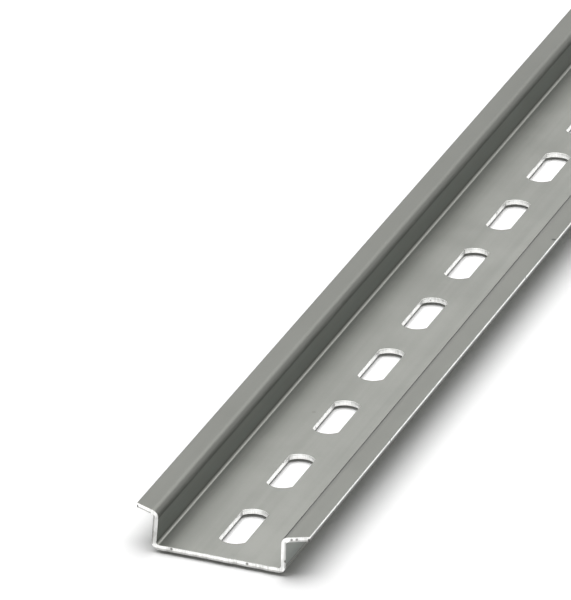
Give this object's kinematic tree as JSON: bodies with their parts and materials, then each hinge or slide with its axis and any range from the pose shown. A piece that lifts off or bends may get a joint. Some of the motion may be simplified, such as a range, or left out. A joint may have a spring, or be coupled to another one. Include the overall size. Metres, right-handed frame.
{
  "type": "din rail",
  "caption": "Straight mounting rail rolled from one steel strip to a hat section, with a row of long slots in its base and a lip along each side for clip-on devices.",
  "frame": {"origin": "centre of the flat back face, halfway along the rail", "axes": "+Y along the rail from the near cut end to the far one, +X across it to the right, +Z out of the open channel"},
  "size_m": [0.035, 1, 0.0075],
  "materials": {
    "zinc_steel": "satin"
  },
  "bodies": {
    "root": {"rail": "zinc_steel"}
  },
  "joints": []
}
